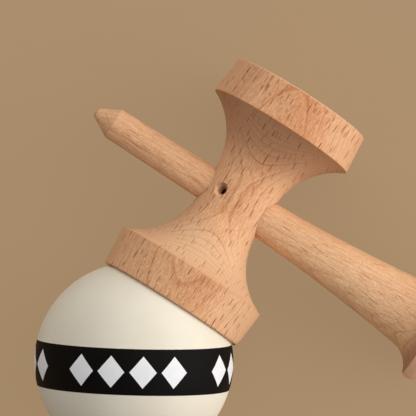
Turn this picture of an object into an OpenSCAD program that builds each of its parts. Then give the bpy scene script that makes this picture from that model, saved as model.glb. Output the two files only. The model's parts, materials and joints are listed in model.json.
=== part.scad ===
// Kendama: a wooden cup-and-ball toy, lying on a table with its ball resting in the big cup.
// The ken is the stem with the spike and the base cup, the sarado is the crosspiece with the
// big and small cups, and the tama is the ball.
// The ken's axis is X and the sarado's axis is Y until lay_down() sets the toy on the table.

/* [Sarado] */
// Length over both cup rims
sarado_span = 74; // [66:0.1:84]
// Height of the band on each cup, from its corner to its rim
cup_band = 11.8; // [8:0.1:15]
// Widest diameter of the big cup, at its corner
big_cup_d = 49.2; // [46:0.1:54]
// Widest diameter of the small cup, at its corner
small_cup_d = 47.1; // [43:0.1:50]
// How much each band draws in, in radius, from its corner to its rim
band_taper = 1; // [0:0.1:2]
// Width of the lip between a cup's outside and its mouth
cup_lip = 1.8; // [1.4:0.1:3]
// Diameter of the waist
waist_d = 21.4; // [18:0.1:25]
// Straight length of the waist between its two flares
waist_straight = 9.6; // [2:0.1:14]

/* [Ken] */
// From the sarado's axis to the tip of the spike
spike_reach = 50.6; // [42:0.1:70]
// Length of the pointed tip, from its shoulder to its end
tip_length = 6.7; // [5:0.1:10]
// Radius of the blunt end of the tip
tip_round = 2; // [1:0.1:3]
// Diameter of the spike at its shoulder
shoulder_d = 9.8; // [8:0.1:10.4]
// Diameter where the spike enters the sarado
spike_d = 10.7; // [10:0.1:11.6]
// Diameter where the handle leaves the sarado
neck_d = 12; // [11.6:0.1:13]
// Length of the handle from the sarado's waist to the upper edge of the base
handle_length = 59.6; // [50:0.1:90]
// Diameter of the handle where it starts to flare
handle_d = 21.1; // [17:0.1:24]
// Slope of the handle's side where it starts to flare, in degrees
handle_slope = 7.7; // [5:0.1:9]
// Radius of the hollow between the handle and the base
base_flare = 8.5; // [6:0.1:11]
// Steepest slope of that hollow, in degrees
base_slope = 76; // [60:1:85]

/* [Base cup] */
// Widest diameter of the base
base_d = 34.6; // [31:0.1:40]
// Height of the base from its upper edge to its rim
base_height = 8.3; // [7.6:0.1:12]
// Rounding of the base's side
base_round = 3.7; // [2.5:0.1:4]
// How far the upper edge of the base lies inside its widest radius
base_edge_drop = 0.5; // [0.2:0.1:1]
// Outer diameter of the base's rim
base_rim_d = 28.6; // [26:0.1:30]
// Width of the lip of the base's rim
base_lip = 1.6; // [1.3:0.1:3]

/* [Tama] */
// Diameter of the ball
tama_d = 60; // [56:0.5:66]
// Diameter of the hole that the spike goes into
spike_hole_d = 22; // [18:0.5:26]
// Depth of that hole, from its mouth to the start of its drilled point
spike_hole_depth = 36; // [30:0.5:40]
// Width of the bevel at the mouth of that hole
spike_hole_bevel = 1.4; // [0.5:0.1:2.5]
// Lean of the ball's pole from the sarado's axis towards the spike, in degrees
tama_lean = 31; // [15:1:40]
// Rise of the ball's pole from the plane of the ken and the sarado, in degrees
tama_rise = 6; // [0:1:12]
// Width of the black band round the ball
stripe_width = 13.8; // [8:0.1:20]
// Distance of the band's middle below the ball's equator
stripe_drop = 0.8; // [0:0.1:3]
// Thickness of the band's paint, which stands proud of the ball
stripe_coat = 0.05; // [0.02:0.01:0.1]

/* [String holes] */
// Diameter of the string hole in the sarado
sarado_string_d = 2.8; // [2:0.1:4]
// Diameter of its worn mouth on the waist
sarado_string_mouth_d = 4.7; // [3:0.1:6]
// Turn of that hole from straight up towards the spike, in degrees
sarado_string_turn = 33.5; // [20:0.5:45]
// Diameter of the string hole across the ken
ken_string_d = 3; // [2:0.1:4]
// Diameter of the string hole in the tama
tama_string_d = 3.5; // [2:0.1:5]

/* [Fits] */
// Gap between the ken's taper and the hole in the sarado, on the radius
ken_gap = 0.05; // [0.02:0.01:0.1]
// Gap between the ball and the cup's lip that it rests in
seat_gap = 0.2; // [0.1:0.05:0.4]
// Room between a ball that rests in a cup and the floor of the bowl
bowl_room = 2.9; // [1:0.1:4]
// Rounding of the edges of all lips
lip_round = 0.6; // [0.2:0.1:0.65]

/* [Hidden] */

wood_color = "#D6A276";
dark_wood_color = "#CC976B";
cream_color = "#ECE5D3";
black_color = "#161616";

// Points on each rounded stretch of an outline, facets of a turned solid, and overrun of a cut
arc_steps = 24;
turned_fn = 96;
cut_over = 1;

tama_r = tama_d / 2;
waist_r = waist_d / 2;
shoulder_r = shoulder_d / 2;
spike_r = spike_d / 2;
neck_r = neck_d / 2;
handle_r = handle_d / 2;
base_r = base_d / 2;
base_rim_r = base_rim_d / 2;
spike_hole_r = spike_hole_d / 2;

rim_y = sarado_span / 2;
corner_y = rim_y - cup_band;
big_rim_r = big_cup_d / 2 - band_taper;
small_rim_r = small_cup_d / 2 - band_taper;

// Height of a seated ball's centre over the rim of a cup with this mouth
function seat_height(mouth_r) =
    sqrt(pow(tama_r + seat_gap + lip_round, 2) - pow(mouth_r + lip_round, 2)) - lip_round;

// Depth of the bowl under the rim of a cup with this mouth
function bowl_depth(mouth_r) = tama_r - seat_height(mouth_r) + bowl_room;

// Points on an arc, as places along an axis and distances from it
function arc(center, radius, from, to) =
    [for (i = [0:arc_steps])
        let (a = from + (to - from) * i / arc_steps)
        center + radius * [cos(a), sin(a)]];

// An outline turned end for end, read backwards
function flipped(points) =
    [for (i = [len(points) - 1:-1:0]) [-points[i][0], points[i][1]]];

// A cup from the middle of its bowl over the lip, as far round the outside as turn says
function cup_outline(rim, rim_r, lip, turn = 90) =
    let (
        mouth_r = rim_r - lip,
        bowl_h = bowl_depth(mouth_r) - lip_round,
        bowl_r = (pow(mouth_r, 2) + pow(bowl_h, 2)) / (2 * bowl_h),
        bowl_center = [rim - lip_round - bowl_h + bowl_r, 0]
    )
    concat(
        arc(bowl_center, bowl_r, 180, 180 - asin(mouth_r / bowl_r)),
        arc([rim - lip_round, mouth_r + lip_round], lip_round, 270, 360),
        arc([rim - lip_round, rim_r - lip_round], lip_round, 0, turn));

// The hollow flare from a cup's corner to the waist
function flare_outline(cup_r) =
    let (
        run = corner_y - waist_straight / 2,
        rise = cup_r - waist_r,
        radius = (run * run + rise * rise) / (2 * rise),
        center = [waist_straight / 2, waist_r + radius]
    )
    arc(center, radius, atan2(rise - radius, run), -90);

function half_sarado(cup_r) =
    concat(cup_outline(rim_y, cup_r - band_taper, cup_lip), flare_outline(cup_r));

sarado_outline = concat(half_sarado(small_cup_d / 2), flipped(half_sarado(big_cup_d / 2)));

// Base: its upper edge, the centre of its rounded side, and its rim
edge_x = waist_r + handle_length;
edge_r = base_r - base_edge_drop;
side_r = base_r - base_round;
side_x = edge_x + sqrt(pow(base_round, 2) - pow(edge_r - side_r, 2));
base_x = edge_x + base_height;

// Direction in which the base's rounded side and its lip share a straight tangent
lip_run = base_x - lip_round - side_x;
lip_rise = base_rim_r - lip_round - side_r;
base_turn = atan2(lip_rise, lip_run) + acos((base_round - lip_round) / norm([lip_run, lip_rise]));

// Flare of the handle: its end slope, and how much of the climb is left as a straight cone
flare_end = acos(max(cos(handle_slope) - (edge_r - handle_r) / base_flare, cos(base_slope)));
flare_top_r = handle_r + base_flare * (cos(handle_slope) - cos(flare_end));
flare_top_x = edge_x - (edge_r - flare_top_r) / tan(base_slope);
handle_x = flare_top_x - base_flare * (sin(flare_end) - sin(handle_slope));
flare_center = [
    handle_x - base_flare * sin(handle_slope),
    handle_r + base_flare * cos(handle_slope)
];

// Handle's side: a gentle curve that leaves the sarado at the neck and meets the flare's slope
handle_run = handle_x - waist_r;
handle_rise = handle_r - neck_r;
neck_slope = 2 * handle_rise / handle_run - tan(handle_slope);
handle_bend = (tan(handle_slope) - neck_slope) / (2 * handle_run);
handle_steps = 12;
handle_outline = [
    for (i = [handle_steps - 1:-1:0])
    let (u = handle_run * i / handle_steps)
    [waist_r + u, neck_r + neck_slope * u + handle_bend * u * u]
];

// Tip: a cone from the shoulder, tangent to the blunt end
tip_center = tip_round - spike_reach;
shoulder_x = tip_length - spike_reach;
tip_side = [shoulder_x - tip_center, shoulder_r];
tip_turn = atan2(tip_side[1], tip_side[0]) + acos(tip_round / norm(tip_side));

ken_outline = concat(
    cup_outline(base_x, base_rim_r, base_lip, base_turn),
    arc([side_x, side_r], base_round, base_turn, 90 + acos((edge_r - side_r) / base_round)),
    arc(flare_center, base_flare, flare_end - 90, handle_slope - 90),
    handle_outline,
    [[-waist_r, spike_r], [shoulder_x, shoulder_r]],
    arc([tip_center, 0], tip_round, tip_turn, 180));

// Ball: its place in the big cup, its spike hole and its band
seat_y = rim_y + seat_height(big_rim_r - cup_lip);
spike_mouth_z = sqrt(pow(tama_r, 2) - pow(spike_hole_r, 2));
spike_floor_z = spike_hole_depth - spike_mouth_z;
drill_point = 1.5;
stripe_bottom = -stripe_width / 2 - stripe_drop;
stripe_root = 1;

// The ball touches the table with its band
table_r = tama_r + stripe_coat;

// String holes: both open at the middle of the ken's taper, where the slanted hole reaches it
taper_r = (spike_r + neck_r) / 2;
ken_string_x = -taper_r * tan(sarado_string_turn);
string_mouth_depth = (sarado_string_mouth_d - sarado_string_d) / 2;

// Lay of the toy on three points: the ball, the small cup and the side of the base.
// Tilt of the sarado's axis when a ring of the small cup and the ball share the table
function cup_tilt(along, out, round) =
    atan2(out, along + seat_y) + asin((round - table_r) / norm([along + seat_y, out]));

sarado_tilt = max(
    cup_tilt(corner_y, small_cup_d / 2, 0),
    cup_tilt(rim_y - lip_round, small_rim_r - lip_round, lip_round));
table_z = -seat_y * sin(sarado_tilt) - table_r;
ken_tilt = atan2(side_r, side_x) + asin((table_z + base_round) / norm([side_x, side_r]));

// Directions of the table's length, width and upright, seen from the toy
upright = [
    sin(ken_tilt),
    sin(sarado_tilt),
    sqrt(1 - pow(sin(ken_tilt), 2) - pow(sin(sarado_tilt), 2))
];
lengthwise = ([1, 0, 0] - upright[0] * upright) / cos(ken_tilt);
crosswise = cross(upright, lengthwise);

// Farthest reach of a rounded ring about an axis, in a direction with this share along the axis
function ring_reach(along, out, round, share) =
    along * share + out * sqrt(1 - share * share) + round;

front_x = max(
    ring_reach(base_x - lip_round, base_rim_r - lip_round, lip_round, lengthwise[0]),
    ring_reach(side_x, side_r, base_round, lengthwise[0]));
back_x = -ring_reach(-tip_center, 0, tip_round, lengthwise[0]);
far_y = max(
    ring_reach(rim_y - lip_round, small_rim_r - lip_round, lip_round, crosswise[1]),
    ring_reach(corner_y, small_cup_d / 2, 0, crosswise[1]));
near_y = -ring_reach(seat_y, 0, tama_r, crosswise[1]);
table_center = [(front_x + back_x) / 2, (far_y + near_y) / 2, table_z];

module lay_down() {
    translate(-table_center)
        multmatrix([lengthwise, crosswise, upright])
            children();
}

// A solid turned about Z from an outline of places along the axis and distances from it
module turned(outline) {
    rotate_extrude($fn = turned_fn)
        polygon([for (p = outline) [p[1], p[0]]]);
}

module ken() {
    color(dark_wood_color)
        lay_down()
            difference() {
                rotate([0, 90, 0]) turned(ken_outline);
                translate([ken_string_x, 0, 0])
                    cylinder(h = 2 * waist_r, d = ken_string_d, center = true, $fn = turned_fn);
            }
}

// The tapered hole for the ken, carried past both sides of the waist
module ken_hole() {
    taper = (neck_r - spike_r) / waist_d;
    half = waist_r + cut_over;
    rotate([0, 90, 0])
        cylinder(
            h = 2 * half,
            r1 = taper_r + ken_gap - taper * half,
            r2 = taper_r + ken_gap + taper * half,
            center = true,
            $fn = turned_fn);
}

module sarado_string_hole() {
    mouth_z = waist_r - string_mouth_depth;
    over_r = sarado_string_mouth_d / 2 + cut_over;
    rotate([0, -sarado_string_turn, 0]) {
        cylinder(h = waist_r + cut_over, d = sarado_string_d, $fn = turned_fn);
        translate([0, 0, mouth_z])
            cylinder(
                h = string_mouth_depth + cut_over,
                r1 = sarado_string_d / 2,
                r2 = over_r,
                $fn = turned_fn);
    }
}

module sarado() {
    color(wood_color)
        lay_down()
            difference() {
                rotate([-90, 0, 0]) turned(sarado_outline);
                ken_hole();
                sarado_string_hole();
            }
}

// The spike hole from below the ball up to its drilled point, with the bevel at its mouth
module spike_hole() {
    bevel_z = -spike_mouth_z + spike_hole_bevel;
    below_z = -tama_r - cut_over;
    turned([
        [below_z, 0],
        [below_z, spike_hole_r + bevel_z - below_z],
        [bevel_z, spike_hole_r],
        [spike_floor_z, spike_hole_r],
        [spike_floor_z + spike_hole_r / drill_point, 0]
    ]);
}

// The ball about its own poles, with the spike hole below and the string hole above
module ball() {
    difference() {
        sphere(r = tama_r, $fn = turned_fn);
        spike_hole();
        cylinder(h = tama_r + cut_over, d = tama_string_d, $fn = turned_fn);
    }
}

// The painted band, rooted in the ball and proud of it by the paint's thickness
module stripe() {
    difference() {
        intersection() {
            sphere(r = tama_r + stripe_coat, $fn = turned_fn);
            translate([0, 0, stripe_bottom])
                cylinder(h = stripe_width, r = tama_r + cut_over, $fn = turned_fn);
        }
        sphere(r = tama_r - stripe_root, $fn = turned_fn);
    }
}

module tama() {
    lay_down()
        translate([0, -seat_y, 0])
            rotate([0, 0, tama_lean])
                rotate([tama_rise - 90, 0, 0]) {
                    color(cream_color) ball();
                    color(black_color) stripe();
                }
}

ken();
sarado();
tama();
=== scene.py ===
"""Kendama: a beech ken and sarado and a painted tama, dressed and lit for the studio."""

import json
import logging
import math
from dataclasses import dataclass, field
from enum import Enum
from typing import Any, ClassVar, Mapping, Sequence

import bmesh
import bpy
from mathutils import Matrix, Vector


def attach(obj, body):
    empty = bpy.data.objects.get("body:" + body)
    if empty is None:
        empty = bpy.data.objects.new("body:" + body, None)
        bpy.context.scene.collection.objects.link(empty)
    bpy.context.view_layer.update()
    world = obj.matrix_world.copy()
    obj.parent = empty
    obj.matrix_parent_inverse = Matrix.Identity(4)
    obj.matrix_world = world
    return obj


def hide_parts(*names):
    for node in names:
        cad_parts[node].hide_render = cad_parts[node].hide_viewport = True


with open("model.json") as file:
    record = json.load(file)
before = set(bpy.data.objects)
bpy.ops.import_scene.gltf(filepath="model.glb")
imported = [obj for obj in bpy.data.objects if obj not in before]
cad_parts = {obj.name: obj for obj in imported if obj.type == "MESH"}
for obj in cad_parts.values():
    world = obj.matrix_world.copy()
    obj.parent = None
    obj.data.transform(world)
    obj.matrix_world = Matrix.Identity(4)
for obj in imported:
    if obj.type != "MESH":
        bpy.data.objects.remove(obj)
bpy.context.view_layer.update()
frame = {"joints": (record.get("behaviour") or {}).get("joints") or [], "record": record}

LOG = logging.getLogger("kendama")
MM = 0.001
IMAGE_PIXELS = 416

Point = tuple[float, float]
Span = tuple[float, float]
Cell = tuple[float, float, float]
Color = tuple[float, float, float, float]


def srgb(red: int, green: int, blue: int) -> Color:
    """A colour written as screen values, made linear by the sRGB curve.

    Args:
        red: Red from 0 to 255.
        green: Green from 0 to 255.
        blue: Blue from 0 to 255.

    Returns:
        The linear colour with full opacity.
    """
    def linear(level: int) -> float:
        """One channel made linear."""
        share = level / 255
        return share / 12.92 if share <= 0.04045 else ((share + 0.055) / 1.055) ** 2.4
    return (linear(red), linear(green), linear(blue), 1.0)


class Piece(Enum):
    """The three turned pieces, by the names of their CAD nodes and bodies."""

    KEN = "ken"
    SARADO = "sarado"
    TAMA = "tama"


class Op(Enum):
    """Operations of the Math and Vector Math nodes that the trees use."""

    ADD = "ADD"
    SUBTRACT = "SUBTRACT"
    MULTIPLY = "MULTIPLY"
    DIVIDE = "DIVIDE"
    POWER = "POWER"
    SQRT = "SQRT"
    ABSOLUTE = "ABSOLUTE"
    FLOOR = "FLOOR"
    FRACTION = "FRACT"
    MAXIMUM = "MAXIMUM"
    SINE = "SINE"
    COSINE = "COSINE"


class Wire:
    """A node's output socket that takes part in Python expressions."""

    def __init__(self, tree: "Tree", socket: bpy.types.NodeSocket) -> None:
        """Keeps the socket and the tree that it is in."""
        self.tree = tree
        self.socket = socket

    def _math(self, op: Op, first: Any, second: Any = None) -> "Wire":
        """Adds one Math node.

        Args:
            op: What the node works out.
            first: A wire or a number.
            second: Another wire or number, where the operation takes two.

        Returns:
            The node's result.
        """
        values = {0: first} if second is None else {0: first, 1: second}
        return self.tree.out("ShaderNodeMath", 0, {"operation": op.value}, values)

    def __add__(self, other: Any) -> "Wire":
        """Sum."""
        return self._math(Op.ADD, self, other)

    def __radd__(self, other: Any) -> "Wire":
        """Sum with a number first."""
        return self._math(Op.ADD, other, self)

    def __sub__(self, other: Any) -> "Wire":
        """Difference."""
        return self._math(Op.SUBTRACT, self, other)

    def __rsub__(self, other: Any) -> "Wire":
        """Difference from a number."""
        return self._math(Op.SUBTRACT, other, self)

    def __mul__(self, other: Any) -> "Wire":
        """Product."""
        return self._math(Op.MULTIPLY, self, other)

    def __rmul__(self, other: Any) -> "Wire":
        """Product with a number first."""
        return self._math(Op.MULTIPLY, other, self)

    def __truediv__(self, other: Any) -> "Wire":
        """Quotient."""
        return self._math(Op.DIVIDE, self, other)

    def __rtruediv__(self, other: Any) -> "Wire":
        """Quotient of a number."""
        return self._math(Op.DIVIDE, other, self)

    def __pow__(self, other: Any) -> "Wire":
        """Power."""
        return self._math(Op.POWER, self, other)

    def __abs__(self) -> "Wire":
        """Size without its sign."""
        return self._math(Op.ABSOLUTE, self)

    def sqrt(self) -> "Wire":
        """Square root."""
        return self._math(Op.SQRT, self)

    def floor(self) -> "Wire":
        """Whole part."""
        return self._math(Op.FLOOR, self)

    def fraction(self) -> "Wire":
        """Part after the whole number."""
        return self._math(Op.FRACTION, self)

    def sine(self) -> "Wire":
        """Sine of an angle in radians."""
        return self._math(Op.SINE, self)

    def cosine(self) -> "Wire":
        """Cosine of an angle in radians."""
        return self._math(Op.COSINE, self)

    def at_least(self, other: Any) -> "Wire":
        """The larger of the two."""
        return self._math(Op.MAXIMUM, self, other)

    def rise(self, low: float, high: float) -> "Wire":
        """Smooth step from 0 at low to 1 at high.

        Args:
            low: Where the step starts.
            high: Where it ends.

        Returns:
            The step's height.
        """
        return self.tree.out(
            "ShaderNodeMapRange", "Result", {"interpolation_type": "SMOOTHSTEP"},
            {"Value": self, "From Min": low, "From Max": high, "To Min": 0.0, "To Max": 1.0})

    def fall(self, low: float, high: float) -> "Wire":
        """Smooth step from 1 at low down to 0 at high."""
        return 1.0 - self.rise(low, high)

    def over(self, low: float, high: float) -> "Wire":
        """Spreads 0 to 1 over the values from low to high."""
        return low + (high - low) * self

    def hypot(self, other: "Wire") -> "Wire":
        """Length of two parts that are square to each other."""
        return (self * self + other * other).sqrt()


class Tree:
    """A node tree that is filled by code."""

    def __init__(self, tree: bpy.types.NodeTree) -> None:
        """Keeps the tree and starts it empty."""
        self.tree = tree
        self.tree.nodes.clear()

    @staticmethod
    def _pick(sockets: Any, key: int | str) -> bpy.types.NodeSocket:
        """Finds a socket.

        Args:
            sockets: A node's inputs or outputs.
            key: The socket's place, or the name of one that is in use.

        Returns:
            The socket.
        """
        if isinstance(key, int):
            return sockets[key]
        return next(s for s in sockets if s.enabled and key in (s.identifier, s.name))

    def node(
        self,
        kind: str,
        settings: Mapping[str, Any] | None = None,
        inputs: Mapping[int | str, Any] | None = None,
    ) -> bpy.types.Node:
        """Adds any node.

        Args:
            kind: The node's type.
            settings: Its own properties, which are set first.
            inputs: Values or wires for its sockets, by place or name.

        Returns:
            The new node.
        """
        made = self.tree.nodes.new(kind)
        for key, value in (settings or {}).items():
            setattr(made, key, value)
        for key, value in (inputs or {}).items():
            socket = self._pick(made.inputs, key)
            if isinstance(value, Wire):
                self.tree.links.new(value.socket, socket)
            else:
                socket.default_value = value
        return made

    def out(
        self,
        kind: str,
        output: int | str,
        settings: Mapping[str, Any] | None = None,
        inputs: Mapping[int | str, Any] | None = None,
    ) -> Wire:
        """Adds any node and gives one of its outputs.

        Args:
            kind: The node's type.
            output: The wanted output, by place or name.
            settings: The node's own properties.
            inputs: Values or wires for its sockets.

        Returns:
            The output as a wire.
        """
        return self.wire(self.node(kind, settings, inputs), output)

    def wire(self, node: bpy.types.Node, output: int | str) -> Wire:
        """One output of a node as a wire."""
        return Wire(self, self._pick(node.outputs, output))

    def split(self, vector: Wire) -> tuple[Wire, Wire, Wire]:
        """The three parts of a vector."""
        node = self.node("ShaderNodeSeparateXYZ", None, {0: vector})
        return self.wire(node, 0), self.wire(node, 1), self.wire(node, 2)

    def join(self, x: Any, y: Any, z: Any) -> Wire:
        """A vector from its three parts."""
        return self.out("ShaderNodeCombineXYZ", 0, None, {0: x, 1: y, 2: z})

    def vector(self, op: Op, first: Any, second: Any) -> Wire:
        """One Vector Math node on two vectors."""
        return self.out(
            "ShaderNodeVectorMath", 0, {"operation": op.value}, {0: first, 1: second})

    def white(self, value: Wire) -> Wire:
        """A fixed random number for each value."""
        return self.out(
            "ShaderNodeTexWhiteNoise", "Value", {"noise_dimensions": "1D"}, {"W": value})


class Shader(Tree):
    """The tree of one material."""

    def __init__(self, name: str) -> None:
        """Makes an empty material.

        Args:
            name: The material's name.
        """
        self.material = bpy.data.materials.new(name)
        self.material.use_nodes = True
        super().__init__(self.material.node_tree)

    def place(self, at: Matrix) -> Wire:
        """Object coordinates in millimetres, centred on and turned to a piece.

        Args:
            at: The piece's own frame.

        Returns:
            The coordinates along the frame's three axes.
        """
        coordinates = self.out("ShaderNodeTexCoord", "Object")
        return self.out(
            "ShaderNodeMapping", "Vector", {"vector_type": "TEXTURE"},
            {"Vector": coordinates, "Location": at.to_translation(),
             "Rotation": at.to_euler(), "Scale": (MM, MM, MM)})

    def noise(self, place: Wire, cell: Sequence[float], detail: float = 2.0,
              roughness: float = 0.5) -> Wire:
        """Smooth noise with its own cell size along each axis.

        Args:
            place: Coordinates in millimetres.
            cell: Size of a blotch along each axis, in millimetres.
            detail: Octaves of finer noise.
            roughness: Strength of the finer noise.

        Returns:
            The noise, about 0.5 on average.
        """
        scaled = self.vector(Op.MULTIPLY, place, tuple(1 / size for size in cell))
        return self.out(
            "ShaderNodeTexNoise", "Fac", {"noise_dimensions": "3D"},
            {"Vector": scaled, "Scale": 1.0, "Detail": detail, "Roughness": roughness})

    def wave(self, value: Wire) -> Wire:
        """Smooth noise along one line."""
        return self.out(
            "ShaderNodeTexNoise", "Fac", {"noise_dimensions": "1D"},
            {"W": value, "Scale": 1.0, "Detail": 1.0})

    def mix(self, share: Any, first: Any, second: Any) -> Wire:
        """A mix of two colours.

        Args:
            share: How much of the second colour shows.
            first: A colour or a wire.
            second: Another colour or wire.

        Returns:
            The mixed colour.
        """
        return self.out(
            "ShaderNodeMix", "Result_Color", {"data_type": "RGBA"},
            {"Factor_Float": share, "A_Color": first, "B_Color": second})

    def facing(self, direction: Vector) -> Wire:
        """How far the surface faces along a direction.

        Args:
            direction: A direction in the part's frame.

        Returns:
            The cosine of the angle between them.
        """
        normal = self.out("ShaderNodeTexCoord", "Normal")
        return self.out(
            "ShaderNodeVectorMath", "Value", {"operation": "DOT_PRODUCT"},
            {0: normal, 1: tuple(direction)})

    def bump(self, height: Wire, depth_mm: float, strength: float = 1.0) -> Wire:
        """Relief of a given depth.

        Args:
            height: Height from 0 to 1.
            depth_mm: Depth of a height of 1, in millimetres.
            strength: Share of the effect.

        Returns:
            The bumped normal.
        """
        return self.out(
            "ShaderNodeBump", "Normal", None,
            {"Strength": strength, "Distance": depth_mm * MM, "Height": height})

    def surface(self, **sockets: Any) -> bpy.types.Material:
        """Ends the tree in a Principled shader.

        Args:
            sockets: Values or wires, by socket name with underscores for spaces.

        Returns:
            The finished material.
        """
        inputs = {key.replace("_", " "): value for key, value in sockets.items()}
        shader = self.out("ShaderNodeBsdfPrincipled", "BSDF", None, inputs)
        self.node("ShaderNodeOutputMaterial", None, {"Surface": shader})
        return self.material


@dataclass(frozen=True)
class WornLitMouth:
    """The mouth of a hole that a string has rubbed: paler wood painted as light on the side that
    faces the key lamp, and darker brown painted as shade on the other side.
    """

    at: Matrix
    radius_mm: float
    from_mm: float = 6.0
    soft_mm: float = 0.25
    ragged_mm: float = 1.2
    ragged_cell_mm: Cell = (0.9, 0.9, 0.9)
    # Painted light: paler rubbed wood on the side of the mouth that faces the key lamp.
    lit_fresh: Color = srgb(248, 194, 148)
    lit_side: Point = (-0.6, -0.8)
    lit_span: Span = (0.2, 0.7)
    lit_show: float = 0.75
    # Painted shade: darker brown on the other side of the mouth.
    shaded_torn: Color = srgb(128, 76, 44)
    shaded_span: Span = (0.2, 0.6)
    shaded_show: float = 0.5

    def tint(self, shader: Shader, color: Wire) -> Wire:
        """Lays the rubbed wood of the mouth, with its painted light and shade, over a colour.

        Args:
            shader: The material's tree.
            color: The wood's colour elsewhere.

        Returns:
            The colour with the worn mouth.
        """
        place = shader.place(self.at)
        aside, over, out = shader.split(place)
        reach = aside.hypot(over)
        side = (aside * self.lit_side[0] + over * self.lit_side[1]) / reach
        ragged = shader.noise(place, self.ragged_cell_mm) - 0.5
        inside = (reach + ragged * self.ragged_mm).fall(
            self.radius_mm, self.radius_mm + self.soft_mm)
        inside = inside * out.rise(self.from_mm, self.from_mm + self.soft_mm)
        # Paler wood painted as light on the side that faces the key lamp, and brown painted as
        # shade on the other side.
        lit_fresh = inside * side.rise(*self.lit_span) * self.lit_show
        shaded_torn = inside * (side * -1.0 + ragged).rise(*self.shaded_span) * self.shaded_show
        return shader.mix(shaded_torn, shader.mix(lit_fresh, color, self.lit_fresh), self.shaded_torn)


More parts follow.
